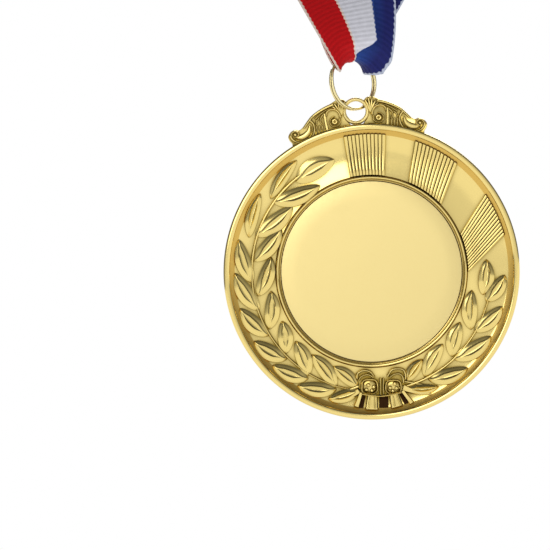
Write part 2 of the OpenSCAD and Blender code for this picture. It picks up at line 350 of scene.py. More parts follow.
def cloth():
    """Ribbed ribbon in three stripes: u is the place across in mm, v the place along in mm."""
    made, tree, shader = node_material("woven_ribbon", (0.6, 0.02, 0.03), 0.0, 0.62)
    shader.inputs["Sheen Weight"].default_value = 0.07
    shader.inputs["Sheen Roughness"].default_value = 0.45
    shader.inputs["Specular IOR Level"].default_value = 0.15
    place = add_node(tree, "ShaderNodeUVMap", uv_map="weave")
    split = add_node(tree, "ShaderNodeSeparateXYZ")
    tree.links.new(place.outputs["UV"], split.inputs[0])
    across, along = split.outputs["X"], split.outputs["Y"]

    def maths(kind, a, b=None):
        node = add_node(tree, "ShaderNodeMath", operation=kind)
        for i, value in enumerate((a, b)):
            if value is None:
                continue
            if isinstance(value, (int, float)):
                node.inputs[i].default_value = value
            else:
                tree.links.new(value, node.inputs[i])
        return node.outputs[0]

    rib = maths("SINE", maths("MULTIPLY", along, TAU / RIB_PITCH))
    edge = maths("ADD", across, maths("MULTIPLY", rib, STRIPE_WOBBLE))
    share = maths("DIVIDE", maths("ADD", edge, RIBBON_W / 2), RIBBON_W)
    stripes = ramp(tree, share, STRIPES)
    warp = maths("SINE", maths("MULTIPLY", across, TAU / WARP_PITCH))
    noise = add_node(tree, "ShaderNodeTexNoise", Scale=900.0, Detail=3.0)
    where = add_node(tree, "ShaderNodeTexCoord")
    tree.links.new(where.outputs["Object"], noise.inputs["Vector"])
    # painted shade in the grooves between the ribs and the warp threads, plus random tone of the weave
    rib_shade_and_tone = maths("ADD", maths("MULTIPLY", rib, 0.075), maths("MULTIPLY", warp, 0.03))
    rib_shade_and_tone = maths("ADD", rib_shade_and_tone, maths("MULTIPLY", noise.outputs["Fac"], 0.24))
    rib_shade_and_tone = maths("ADD", rib_shade_and_tone, 0.80)
    tint = add_node(tree, "ShaderNodeMix", data_type="RGBA", blend_type="MULTIPLY")
    tint.inputs["Factor"].default_value = 1.0
    tree.links.new(stripes, tint.inputs["A"])
    grey = add_node(tree, "ShaderNodeCombineColor")
    for channel in range(3):
        tree.links.new(rib_shade_and_tone, grey.inputs[channel])
    tree.links.new(grey.outputs[0], tint.inputs["B"])
    tree.links.new(tint.outputs["Result"], shader.inputs["Base Color"])
    height = maths("ADD", maths("MULTIPLY", rib, 0.5), maths("MULTIPLY", warp, 0.18))
    height = maths("ADD", height, maths("MULTIPLY", noise.outputs["Fac"], 0.35))
    relief = add_node(tree, "ShaderNodeBump", Strength=0.4, Distance=0.00012)
    tree.links.new(height, relief.inputs["Height"])
    tree.links.new(relief.outputs["Normal"], shader.inputs["Normal"])
    return made


def thread_material():
    """Off-white thread with its twist, darker in the twist's grooves as painted shade."""
    made, tree, shader = node_material("sewing_thread", (0.85, 0.84, 0.80), 0.0, 0.55)
    place = add_node(tree, "ShaderNodeTexCoord")
    wave = add_node(tree, "ShaderNodeTexWave", Scale=900.0, Distortion=1.5)
    tree.links.new(place.outputs["Object"], wave.inputs["Vector"])
    tree.links.new(ramp(tree, wave.outputs["Fac"], [(0.2, (0.62, 0.60, 0.56)), (0.8, (0.88, 0.87, 0.84))]),
                   shader.inputs["Base Color"])
    relief = add_node(tree, "ShaderNodeBump", Strength=0.6, Distance=0.00005)
    tree.links.new(wave.outputs["Fac"], relief.inputs["Height"])
    tree.links.new(relief.outputs["Normal"], shader.inputs["Normal"])
    return made


GOLD = (0.90, 0.71, 0.26)
# Darker gold for the painted shade in hollows
PAINTED_SHADE = (0.28, 0.185, 0.025)
# Colour, colour of the painted shade in hollows, roughness, grain, bump and reach of the painted shade
polished = gold("polished_gold", GOLD, PAINTED_SHADE, 0.11, 700.0, 0.02, 0.0012)
relief_gold = gold("relief_gold", (0.88, 0.69, 0.24), (0.20, 0.13, 0.015), 0.17, 900.0, 0.05, 0.0014)
# Darker gold on the leaf walls and the disc's slope: painted shade for their dark outlines
shade_gold = gold("painted_shade_gold", (0.72, 0.47, 0.11), (0.50, 0.31, 0.05), 0.3, 900.0, 0.08, 0.0012)
satin = gold("satin_gold", (0.86, 0.70, 0.30), PAINTED_SHADE, 0.42, 2600.0, 0.12, 0.0006)
collar_gold = gold("collar_gold", (0.88, 0.71, 0.28), (0.55, 0.40, 0.10), 0.3, 900.0, 0.05, 0.0006, 0.65)
wire_gold = gold("wire_gold", (0.93, 0.80, 0.42), (0.22, 0.15, 0.03), 0.3, 1500.0, 0.1, 0.0008)
# Near-black patches between the bow's tails: painted shadow
shadow_patch_gold = gold("painted_shadow", (0.05, 0.022, 0.008), (0.03, 0.012, 0.004), 0.6, 900.0, 0.1, 0.001)
ribbon_cloth = cloth()
thread = thread_material()


# ---------------------------------------------------------------- medal: disc
BACK_SINK = 0.3
BACK_RIM_W = 2.1


def disc_profile():
    """Half section from the middle of the front round the edge to the middle of the back."""
    band = CENTRE_R + RING_BAND_W / 2
    bead = DISC_R - BEAD_HALF - 0.01
    bead_base = RIM_Z - BEAD_W / 2
    back = -RIM_Z + BACK_SINK
    # plain centre, then the fine and the broad bead of the inner band
    profile = [(0, CENTRE_Z), (8, CENTRE_Z), (16, CENTRE_Z), (CENTRE_R - 0.25, CENTRE_Z)]
    profile += [(CENTRE_R - 0.1, CENTRE_Z - 0.04), (CENTRE_R, CENTRE_Z - 0.22)]
    profile += arc((CENTRE_R + 0.18, CENTRE_Z - 0.16), (0.14, 0.3), 180, 20, 6)
    profile += arc((band + 0.16, CENTRE_Z - 0.12), (0.34, 0.52), 170, 0, 9)
    profile += [(BAND_IN_R - 0.05, FIELD_Z - 0.1)]
    # dished field
    for radius in np.linspace(BAND_IN_R + 0.08, FIELD_R - 0.1, 22):
        profile.append((radius, float(field_level(radius))))
    # slope and outer bead
    profile += [(FIELD_R + 0.05, FIELD_Z + 0.03), (bead - BEAD_HALF - 0.02, RIM_Z - 0.44)]
    profile += arc((bead, RIM_Z - 0.42), (BEAD_HALF, 0.42), 172, 10, 12)
    # edge, back rim and back
    profile += [(DISC_R - 0.01, RIM_Z - 0.5), (DISC_R, bead_base - 0.4)]
    profile += [(DISC_R, 0), (DISC_R, -0.6)]
    profile += arc((DISC_R - 0.35, -RIM_Z + 0.35), (0.35, 0.35), 0, -90, 7)
    profile += [(DISC_R - 1.7, -RIM_Z)]
    profile += arc((DISC_R - 2.0, -RIM_Z + 0.15), (0.15, 0.15), 270, 180, 4)
    profile += [(DISC_R - 2.3, back), (20, back), (10, back), (0, back)]
    return profile


def make_disc():
    """Disc with its plain faces in satin and its slope in darker gold, as painted shade."""
    shape = Shape()
    profile = disc_profile()
    lathe(shape, profile, 240)
    size = len(profile)
    radii = [p[0] for p in profile]
    heights = [p[1] for p in profile]
    # the plain centre and the back take satin; the slope takes the darker gold as painted shade
    for index in range(len(shape.marks)):
        j = index % size
        inner = max(radii[j], radii[(j + 1) % size]) < CENTRE_R - 0.05
        behind = heights[j] < 0 and radii[j] < DISC_R - BACK_RIM_W
        slope = FIELD_R < radii[j] < FIELD_R + 0.2 and heights[j] > 0
        if (inner and heights[j] > 0) or behind:
            shape.marks[index] = 1
        elif slope:
            shape.marks[index] = 2
    shape.piece("disc_casting", on_medal, [polished, satin, shade_gold], "medal", ["medal_disc"], 28)


# ---------------------------------------------------------------- medal: laurel
# Columns of a leaf by share of its half width, closest where the fine ridges turn
LEAF_COLUMNS = [-1, -0.9, -0.78, -0.64, -0.52, -0.44, -0.4, -0.34, -0.22, -0.08,
                0.08, 0.22, 0.34, 0.4, 0.44, 0.52, 0.64, 0.78, 0.9, 1]
VEIN_EDGE = 0.4
VEIN_THIN, VEIN_WIDE = 0.07, 0.37
LENS_DEPTH = 0.30
LEAF_FULL = 1.12
LEAF_SINK = 0.15


def leaf(shape, base, tip, width, crest=1.0, bend=0.04, steps=22):
    """Laurel leaf: sloping flanks that rise to two fine ridges, with a sunk lens between them."""
    base, tip = np.asarray(base), np.asarray(tip)
    way = tip - base
    length = np.linalg.norm(way)
    side = np.array([-way[1], way[0]]) / length
    sections = []
    for t in np.linspace(0.004, 0.996, steps):
        swell = 4 * t * (1 - t)
        half = width * LEAF_FULL / 2 * swell ** 0.72 * (1.06 - 0.12 * t) + 0.02
        peak = crest * swell ** 0.33 * (0.75 + 0.25 * swell)
        opened = ease((t - 0.12) / 0.3) * ease((0.93 - t) / 0.3)
        vein = VEIN_THIN + (VEIN_WIDE - VEIN_THIN) * opened
        middle = base + way * t + side * bend * length * swell
        loop = []
        for q in LEAF_COLUMNS:
            if abs(q) <= VEIN_EDGE:
                s = vein * q / VEIN_EDGE
                sunk = 1 - (q / VEIN_EDGE) ** 2
                up = peak * (1 - LENS_DEPTH * opened * sunk)
            else:
                e = (abs(q) - VEIN_EDGE) / (1 - VEIN_EDGE)
                s = math.copysign(vein + (1 - vein) * e, q)
                up = peak * (1 - 0.14 * min(1, e * 5) - 0.44 * e ** 1.4)
            at = middle + side * half * s
            loop.append([*at, level_at(at) + up])
        for q in (1, -1):
            at = middle + side * half * q
            loop.append([*at, level_at(at) - LEAF_SINK])
        sections.append(loop)
    # the upright walls round the leaf take the darker gold, painted shade for their dark outlines
    first = len(shape.faces)
    shape.loft(sections)
    size = len(LEAF_COLUMNS) + 2
    for index in range(first, len(shape.faces)):
        if (index - first) % size in (len(LEAF_COLUMNS) - 1, size - 1):
            shape.marks[index] = 1


def stem(shape, start, end):
    """Stalk of a branch, along an arc of the field."""
    turns = np.linspace(start, end, 40)
    path = [polar(turn, STEM_R) for turn in turns]
    ridge(shape, path, lambda t: 0.75 - 0.3 * t, 0.55, float(field_level(STEM_R)), count=90)


# Leaves: base angle, base radius, tip angle, tip radius, width. Angles turn left from the top of the disc
LEFT_OUTER = [
    (48.75, 27.3, 28.2, 29.4, 2.3), (69, 27.9, 49.3, 29.8, 2.4), (90, 26.3, 70.8, 30.0, 3.0),
    (103.5, 26.1, 85, 30.1, 3.2), (116.5, 26.6, 100, 30.1, 3.2), (130.5, 26.8, 115, 30.1, 3.1),
    (144, 27.3, 127.8, 30.0, 3.0), (158, 27.0, 141.3, 29.9, 2.9), (169, 26.0, 155.5, 29.6, 2.5),
]
LEFT_INNER = [
    (49.5, 26.4, 25.2, 22.0, 3.4), (67.5, 26.7, 44.6, 22.5, 3.4), (79.5, 25.9, 58.8, 21.9, 3.1),
    (96.75, 25.5, 76, 22.3, 3.0), (114, 25.8, 95.3, 22.4, 2.9), (128.25, 26.2, 113.3, 22.4, 2.9),
    (143.25, 26.8, 126.8, 22.6, 3.0), (157.5, 26.6, 138.5, 22.5, 2.9), (168, 25.7, 152, 22.6, 2.6),
]
LEFT_END = (34.5, 25.7, 12.75, 25.9, 4.1)
RIGHT_OUTER = [
    (191, 26.8, 204.75, 29.3, 2.0), (202, 26.8, 219.5, 30.0, 3.0), (217.5, 26.5, 236, 29.9, 3.2),
    (234, 26.1, 249.5, 29.7, 3.0), (249.75, 26.0, 263, 29.3, 2.9),
]
RIGHT_INNER = [
    (192, 25.4, 204.75, 22.3, 2.3), (201, 25.9, 219, 22.3, 2.8), (217.5, 25.7, 234.75, 22.4, 2.9),
    (234, 25.3, 254.0, 22.4, 3.0),
]
RIGHT_END = (252.5, 25.0, 270.5, 25.4, 3.0)


def branch(name, leaves, stem_span, node):
    """Leaves on a stalk, each bent away from the stalk."""
    shape = Shape()
    for number, (base_angle, base_r, tip_angle, tip_r, width) in enumerate(leaves):
        turned = 1 if tip_r > base_r else -1
        if tip_angle > base_angle:
            turned = -turned
        crest = 1.0 + 0.06 * math.sin(number * 1.7)
        leaf(shape, polar(base_angle, base_r), polar(tip_angle, tip_r), width, crest, 0.05 * turned)
    stem(shape, *stem_span)
    shape.piece(name, on_medal, [relief_gold, shade_gold], "medal", [node], 30)


# ---------------------------------------------------------------- medal: rays
RAY_DROP = 20
# Start and end angle right of the top, seen from the rays' own centre, and the number of reeds
RAY_PANELS = {"top": (-3.7, 6.9, 11), "middle": (14.4, 26.7, 12), "side": (37.5, 49.8, 13)}
PANEL_H = 0.35
REED_H = 0.27
REED_STEPS = 8
PANEL_SINK = 0.15


def ray_reach(turn, radius):
    """Way from the rays' own centre, at an angle right of the top, to a circle round the disc's centre."""
    c = math.cos(turn)
    return RAY_DROP * c + math.sqrt(radius ** 2 - (RAY_DROP * math.sin(turn)) ** 2)


def ray_place(turn, share):
    """Point on a ray, at a share of the way from the inner band to the slope."""
    near = ray_reach(turn, BAND_IN_R + 0.15)
    far = ray_reach(turn, FIELD_R + 0.12)
    reach = near + (far - near) * share
    return reach * math.sin(turn), reach * math.cos(turn) - RAY_DROP


def ray_panel(which, node):
    """Reeds side by side, each a half round, with sharp grooves between."""
    start, end, count = RAY_PANELS[which]
    shape = Shape()
    marks = np.linspace(0, count, count * REED_STEPS + 1)
    angles = np.radians(start + (end - start) * marks / count)
    sections = []
    for share in np.linspace(0, 1, 16):
        loop = []
        for mark, turn in zip(marks, angles):
            x, y = ray_place(turn, share)
            part = mark % 1
            number = int(min(mark, count - 0.01))
            tall = REED_H * (0.85 + 0.15 * math.sin(number * 2.3 + 1))
            up = tall * math.sqrt(max(0, 1 - (2 * part - 1) ** 2))
            taper = 0.6 + 0.4 * ease(share / 0.12)
            loop.append([x, y, level_at((x, y)) + (PANEL_H + up) * taper])
        for turn in (angles[-1], angles[0]):
            loop.append([*ray_place(turn, share), FIELD_Z - FIELD_DISH - PANEL_SINK])
        sections.append(loop)
    shape.loft(sections)
    shape.piece("rays_" + which, on_medal, [relief_gold], "medal", [node], 30)


# ---------------------------------------------------------------- medal: bow
BOW_X, BOW_Y = -0.4, -25.5
BOW_TURN = math.radians(5.6)
ROSE_POWER = 0.65  # rounder than a square, squarer than a circle
# Bands of the bow in its own upright frame: points, widths and heights at both ends, lift off the field,
# and flatness
BOW_BANDS = [
    ([(-5.3, 1.9), (-5.1, 3.1), (-3.8, 3.7), (-2.4, 3.4), (-1.5, 2.3)], (0.6, 0.6), (0.6, 0.6), 0.1, 0.0),
    ([(-4.9, 1.6), (-4.3, 2.4), (-2.9, 2.8), (-1.6, 2.1)], (0.55, 0.55), (0.8, 0.8), 0.1, 0.0),
    ([(1.4, 2.4), (2.3, 3.8), (3.6, 4.1), (4.8, 3.9), (5.3, 3.0), (5.3, 1.8)],
     (0.6, 0.6), (0.6, 0.6), 0.1, 0.0),
    ([(1.9, 2.2), (2.7, 2.8), (3.9, 3.0), (4.7, 2.4), (4.9, 1.0)], (0.55, 0.55), (0.8, 0.8), 0.1, 0.0),
    ([(-0.2, 2.0), (-0.15, 0.2), (-0.2, -1.6)], (0.5, 0.5), (0.9, 0.9), 0.2, 0.0),
    ([(0.5, 2.0), (0.45, 0.2), (0.5, -1.5)], (0.5, 0.5), (0.9, 0.9), 0.2, 0.0),
    ([(-1.9, -1.6), (-2.0, -3.2), (-2.05, -4.8)], (2.2, 3.0), (0.95, 0.75), 0.1, 0.35),
    ([(2.8, -1.4), (3.1, -2.8), (3.5, -4.2)], (2.0, 2.8), (0.95, 0.75), 0.1, 0.35),
    ([(-2.4, -2.1), (-2.6, -3.3), (-2.8, -4.6)], (0.3, 0.35), (0.3, 0.2), 0.85, 0.0),
    ([(-1.4, -2.1), (-1.4, -3.3), (-1.3, -4.6)], (0.3, 0.35), (0.3, 0.2), 0.85, 0.0),
    ([(2.6, -1.9), (2.8, -2.9), (3.0, -4.1)], (0.3, 0.35), (0.3, 0.2), 0.85, 0.0),
    ([(3.4, -1.7), (3.8, -2.8), (4.3, -3.9)], (0.3, 0.35), (0.3, 0.2), 0.85, 0.0),
    ([(-4.4, -1.2), (-4.9, -2.8), (-5.4, -4.2)], (0.9, 1.4), (0.9, 0.6), 0.1, 0.2),
    ([(4.7, -0.8), (5.7, -2.1), (6.7, -3.4)], (0.9, 1.2), (0.9, 0.6), 0.1, 0.2),
    ([(4.9, -0.1), (7.6, -1.0), (11.0, -1.5)], (1.9, 0.3), (0.75, 0.35), 0.05, 0.2),
    ([(5.2, 1.3), (8.6, 0.7), (12.2, 0.2)], (0.6, 0.35), (0.5, 0.35), 0.05, 0.0),
    ([(-5.0, 0.2), (-7.8, -0.9), (-10.6, -2.2)], (0.9, 0.35), (0.6, 0.35), 0.05, 0.0),
    ([(-4.9, -0.8), (-6.8, -2.2), (-8.3, -3.2)], (1.6, 0.4), (0.7, 0.35), 0.05, 0.2),
    ([(-4.2, -1.5), (0.1, -1.9), (4.4, -1.1)], (0.62, 0.62), (1.15, 1.15), 0.1, 0.0),
]
# Roses: middle, half width, half height, and the small bumps in them
BOW_ROSES = [
    (-2.5, 0.15, 1.75, 1.6, [(-2.8, 0.5), (-2.0, -0.7), (-1.6, 0.1), (-3.2, -0.5)]),
    (2.7, 0.1, 1.7, 1.5, [(3.0, 0.8), (2.0, -0.1), (3.4, -0.2), (2.6, -0.8)]),
]
# Painted shadow between the tails, as flat dark patches: points, and widths at both ends
BOW_SHADOW_PATCHES = [
    ([(-3.7, -1.9), (-4.1, -3.4), (-4.4, -4.7)], (0.7, 1.0)),
    ([(0.6, -1.9), (0.62, -3.2), (0.6, -4.5)], (2.0, 2.1)),
    ([(4.3, -1.3), (5.0, -2.5), (5.6, -3.6)], (0.8, 1.0)),
]


def make_bow():
    """Two roses under arches, the knot between them, and tails with painted shadow between them, as flat dark
    patches.
    """
    shape = Shape()
    c, s = math.cos(BOW_TURN), math.sin(BOW_TURN)

    def at(x, y):
        return BOW_X + x * c + y * s, BOW_Y + y * c - x * s

    def band(points, width, height, lift, flat, mark=0):
        ridge(shape, [at(*point) for point in points], lambda t: width[0] + (width[1] - width[0]) * t,
              lambda t: height[0] + (height[1] - height[0]) * t, lift, 30, SINK + lift, flat, mark, True)

    def boss(x, y, radius, height, lift):
        centre = at(x, y)
        dome(shape, centre, radius, height, level_at(centre) + lift, sink=SINK + lift)

    for points, width, height, lift, flat in BOW_BANDS:
        band(points, width, height, lift, flat)
    for x, y, half_x, half_y, bumps in BOW_ROSES:
        ring = []
        for turn in np.linspace(0, TAU, 25):
            cx, cy = math.cos(turn), math.sin(turn)
            ring.append((x + half_x * math.copysign(abs(cx) ** ROSE_POWER, cx),
                         y + half_y * math.copysign(abs(cy) ** ROSE_POWER, cy)))
        band(ring, (0.55, 0.55), (0.95, 0.95), 0.1, 0.0)
        boss(x, y, 1.7, 0.4, 0.15)
        for bump in bumps:
            boss(*bump, 0.48, 0.4, 0.42)
    # flat dark patches: painted shadow between the tails
    for points, width in BOW_SHADOW_PATCHES:
        band(points, width, (0.05, 0.05), 0.02, 0.9, mark=1)
    shape.piece("wreath_knot", on_medal, [relief_gold, shadow_patch_gold], "medal", ["wreath_bow"], 32)


# ---------------------------------------------------------------- medal: crest and eye
CREST_T = 1.6
# Right wing: along the top to the volute, down to the bead, and back beside the eye
CREST_OUTLINE = [
    (1.7, 37.3), (2.6, 38.2), (3.9, 38.25), (5.3, 37.6), (6.6, 36.95), (8.2, 36.2), (9.8, 35.3),
    (10.9, 34.2), (11.8, 33.1), (12.7, 32.45), (13.7, 32.6), (14.7, 32.15), (15.3, 31.2), (15.1, 30.3),
    (14.6, 29.6), (14.2, 28.4), (11.0, 29.6), (6.0, 31.2), (2.4, 31.6), (1.2, 32.2),
    (2.3, 33.6), (2.75, 35.0), (2.4, 36.4),
]
GROUND_Z = 0.5
# Section of the wing's edge, front to back: inset and height
CREST_EDGE = [
    (0.24, GROUND_Z), (0.12, GROUND_Z + 0.05), (0.03, GROUND_Z - 0.06), (0, GROUND_Z - 0.25),
    (0, -0.45), (0.05, -0.65), (0.14, -0.76), (0.24, -CREST_T / 2),
]


def mirrored(points, side):
    """Points of the right wing, or of the left one where side is -1."""
    return [(side * x, y) for x, y in points]


def crest_wing(side, name, node):
    """Plate with rounded edges behind the scrollwork."""
    shape = Shape()
    outline = smooth_path(mirrored(CREST_OUTLINE + CREST_OUTLINE[:1], side), 150)[:-1]
    ahead = np.roll(outline, -1, axis=0) - np.roll(outline, 1, axis=0)
    ahead /= np.linalg.norm(ahead, axis=1)[:, None]
    inward = np.stack([ahead[:, 1], -ahead[:, 0]], axis=1) * side
    for _ in range(4):
        inward = (np.roll(inward, 1, axis=0) + 2 * inward + np.roll(inward, -1, axis=0)) / 4
    shape.loft([[[*p, level] for p in outline + inward * inset] for inset, level in CREST_EDGE])
    shape.piece(name, on_medal, [relief_gold], "medal", [node], 40)


def crest_scrolls(side, name, node):
    """Palmette, small scroll and boss, upright bar, and the long scroll that ends in a volute."""
    shape = Shape()

    def turned(points):
        return mirrored(points, side)

    level = GROUND_Z - 0.05
    # fan of ribs beside the eye
    for x, y in [(2.2, 37.75), (3.0, 38.05), (3.85, 38.0), (4.6, 37.5), (5.05, 36.85)]:
        ridge(shape, turned([(3.2, 34.9), (0.45 * x + 0.55 * 3.3, 0.5 * y + 0.5 * 35.0), (x, y)]),
              lambda t: 0.3 + 0.45 * math.sin(math.pi * min(1, 0.15 + t * 0.8)),
              lambda t: 0.25 + 0.3 * math.sin(math.pi * min(1, 0.1 + t * 0.75)), level, 16)
    # rim band under the outline
    ridge(shape, turned([(4.9, 37.25), (6.6, 36.7), (8.2, 35.95), (9.7, 35.0), (10.75, 33.9), (11.7, 32.8)]),
          lambda t: 0.75 - 0.2 * t, 0.62, level, 40)
    ridge(shape, turned([(5.3, 36.6), (6.6, 36.15), (8.0, 35.3), (9.1, 34.5)]), 0.38, 0.5, level, 26)
    # small scroll round its boss
    ridge(shape, turned([(3.45, 34.3), (3.75, 35.4), (4.5, 36.1), (5.7, 36.2), (6.5, 35.6), (6.6, 34.9)]),
          0.62, 0.7, level, 36)
    ridge(shape, turned([(3.75, 34.1), (3.75, 33.1), (4.5, 32.45), (5.5, 32.6), (5.95, 33.5), (5.5, 34.35),
                         (4.75, 34.6)]), lambda t: 0.45 - 0.15 * t, 0.55, level, 40)
    dome(shape, turned([(4.85, 33.55)])[0], 0.8, 0.62, level, dimple=0.42)
    # upright bar
    ridge(shape, turned([(6.95, 35.4), (6.85, 33.6), (6.6, 31.7)]),
          lambda t: 0.45 + 0.3 * t, 0.5, level, 20, flat=0.25)
    # leaf and flutes between the bar and the long scroll
    ridge(shape, turned([(7.3, 35.2), (7.9, 34.5), (7.9, 33.7), (7.5, 33.1)]), lambda t: 0.5 - 0.2 * t, 0.6,
          level, 22)
    ridge(shape, turned([(8.2, 34.6), (8.8, 34.0), (8.9, 33.2)]), 0.4, 0.45, level, 16)
    for foot in (7.5, 8.15, 8.8):
        ridge(shape, turned([(foot + 0.2, 33.0), (foot + 0.05, 32.2), (foot, 31.2)]), 0.42, 0.42, level, 12)
    # long scroll: down, round and up into the volute
    ridge(shape, turned([(10.2, 34.35), (9.5, 33.4), (9.45, 32.2), (9.9, 31.0), (10.9, 30.1), (12.3, 29.7),
                         (13.6, 29.9), (14.5, 30.7), (14.65, 31.6), (14.0, 32.2), (13.2, 32.0), (13.0, 31.4),
                         (13.45, 31.05)]), lambda t: 0.62 - 0.12 * t, lambda t: 0.62 + 0.1 * t, level, 90)
    # smooth hollow of the scroll: a low crescent
    ridge(shape, turned([(10.35, 33.2), (10.7, 31.9), (11.7, 31.0), (12.9, 30.75), (13.7, 31.0)]),
          lambda t: 0.3 + 1.15 * math.sin(math.pi * t) ** 0.8, 0.34, level, 40)
    ridge(shape, turned([(10.15, 32.9), (10.3, 31.6), (11.3, 30.6), (12.7, 30.25), (13.8, 30.7)]), 0.26, 0.5,
          level, 44)
    dome(shape, turned([(13.75, 31.45)])[0], 0.42, 0.62, level, dimple=0.15)
    # foot of the crest on the bead
    ridge(shape, turned([(2.5, 32.35), (5.0, 31.9), (8.0, 31.1), (11.0, 29.9), (13.9, 28.55)]), 0.42, 0.5,
          level, 50)
    shape.piece(name, on_medal, [relief_gold], "medal", [node], 34)


def make_eye():
    """Collar with a rounded rim, open through the middle."""
    shape = Shape()
    middle_r, half_w, round_h = EYE_OUT_R - 0.43, 0.42, 0.5
    profile = arc((middle_r, EYE_HALF_T - round_h), (half_w, round_h), 0, 180, 14)
    profile += arc((middle_r, round_h - EYE_HALF_T), (half_w, round_h), 180, 360, 14)
    lathe(shape, profile, 72, (0, EYE_Y))
    shape.piece("eye_collar", on_medal, [collar_gold], "medal", ["hanging_eye"], 50)


# ---------------------------------------------------------------- split ring
COIL_STEP = 0.74
COIL_START = math.radians(150)
COIL_TURNS = 2 * 0.995
WIRE_R = WIRE_T / 2 * 0.93  # a little thinner than the solid, so that the two turns show apart


def make_ring():
    """Wire coiled twice, with the step from one turn to the next, and both ends cut square."""
    shape = Shape()
    steps, sides = 260, 14
    sections = []
    for i in range(steps):
        t = i / (steps - 1)
        turn = COIL_START + TAU * COIL_TURNS * t
        lift = (ease((t - 0.44) / 0.12) - 0.5) * COIL_STEP
        outward = np.array([math.cos(turn), math.sin(turn), 0])
        middle = outward * RING_R + np.array([0, 0, lift])
        loop = []
        for j in range(sides):
            a = TAU * j / sides
            loop.append(middle + outward * WIRE_R * math.cos(a) + np.array([0, 0, WIRE_R * math.sin(a)]))
        sections.append(loop)
    shape.loft(sections)
    shape.piece("split_ring_wire", on_ring, [wire_gold], "ring", ["split_ring"], 50)


# ---------------------------------------------------------------- ribbon
SECTOR = math.radians(90 - LEG_ANGLE)
CONE = math.asin(SECTOR / math.pi)
NAPE_REACH = RIBBON_HALF / math.tan(SECTOR)
CONE_Y = -NAPE_REACH * math.sin(CONE)
APEX_Z = NAPE_REACH * math.cos(CONE)
LEG_OFFSET = (RIBBON_T + LEG_GAP) / 2
LEG_SPREAD, SPREAD_LEN = 1.3, 60
DRIFT, DRIFT_LEN = 5.0, 75  # the front leg comes down to the ring a little to one side
FAN_LEN, FAN_LEAN = 22.0, 0.45
RING_SWING = math.radians(22)  # the cloth leaves the wire this much room to swing
COIL_HALF = WIRE_T  # half the width of the two turns side by side
CLOTH_CLEAR = 0.42
SADDLE_IN = 0.78
LIP_OUT = 0.6
RIB_H = 0.035


def cone_point(along, across, out):
    """Point on the neck cone: along from the nape, across up the strip, out off the cone."""
    y = NAPE_REACH - across
    reach = np.hypot(along, y)
    turn = np.arctan2(along, y) / math.sin(CONE)
    radius = reach * math.sin(CONE) + out * math.cos(CONE)
    return np.stack([radius * np.sin(turn), CONE_Y + radius * np.cos(turn),
                     APEX_Z - reach * math.cos(CONE) + out * math.sin(CONE)], axis=-1)


# Pleat at the ring, by place across the strip (-1 to 1): angle on the ring in degrees, in front and behind,
# and layers off the wire
PLEAT_PLACE = [-1.0, -0.33, -0.2, 0.33, 0.45, 1.0]
PLEAT_FRONT = [-68, 0, 1, 3, 4, 79]
PLEAT_BACK = [-44, 0, 1, 3, 4, 70]
PLEAT_LAYER = [0.0, 1.4, 1.1, 0.8, 0.3, 0.0]
# Fold of the front leg above the ring: how far its threads swell to the right and forward
FOLD_PLACE = [-1.0, -0.33, 0.33, 0.37, 0.47, 0.6, 1.0]
FOLD_SIDE = [0.0, 0.5, 5.0, 4.9, 2.2, 1.4, 1.3]
FOLD_FRONT = [0.0, 0.7, 1.3, 1.0, 0.0, 0.0, 0.3]
# Threads that the strip is made of, closest where it folds
STRIP_PLACES = np.array([-1, -0.96, -0.85, -0.7, -0.55, -0.45, -0.38, -0.33, -0.28, -0.22, -0.15, -0.05, 0.05,
                         0.15, 0.22, 0.28, 0.33, 0.37, 0.41, 0.45, 0.5, 0.58, 0.68, 0.8, 0.9, 0.96, 1])


def saddle_point(place, around):
    """Where a thread passes under the wire. around runs from -90 (front) by 0 (under) to 90 (back)."""
    wrap = np.radians(around)
    behind = (1 + math.sin(wrap)) / 2
    angle = np.radians((1 - behind) * np.interp(place, PLEAT_PLACE, PLEAT_FRONT)
                       + behind * np.interp(place, PLEAT_PLACE, PLEAT_BACK))
    layer = np.interp(place, PLEAT_PLACE, PLEAT_LAYER) * RIBBON_T
    room = math.sin(RING_SWING) * RING_R * (1 - np.cos(angle))
    lip = LIP_OUT * np.clip(np.sin(angle), 0, 1) ** 2 * max(0, -math.sin(wrap)) ** 6
    radial = RING_R - (SADDLE_IN + layer) * max(0, math.cos(wrap)) ** 0.6 + lip
    axial = -(COIL_HALF + CLOTH_CLEAR + layer + room) * np.sin(wrap)
    x, y, z = radial * np.sin(angle), radial * np.cos(angle), axial
    c, s = math.cos(RING_TURN), math.sin(RING_TURN)
    return np.stack([x * c + z * s, HANG_Y + x * s - z * c, RING_Z + y], axis=-1)


def flat_leg(side, left, place):
    """A thread's place where its leg lies flat on the cone. left is the way from the ring."""
    apart = np.sin(math.pi * np.clip(left, 0, SPREAD_LEN) / SPREAD_LEN) ** 2
    out = -side * (LEG_OFFSET + LEG_SPREAD * apart)
    drift = DRIFT * (1 - ease(left / DRIFT_LEN)) if side < 0 else 0
    across = -place * RIBBON_W / 2 * side + drift
    return cone_point(side * (RIBBON_HALF - left), across, out)


def front_fold(left, place):
    """The front leg's white stripe swells over the blue just above the ring."""
    swell = ease(left / 2.5) * math.exp(-left / 22) * (1 - ease((left - 10) / 30))
    side, front = (np.interp(place, FOLD_PLACE, by) * swell for by in (FOLD_SIDE, FOLD_FRONT))
    return np.stack([side, -front, np.zeros_like(side)], axis=-1)


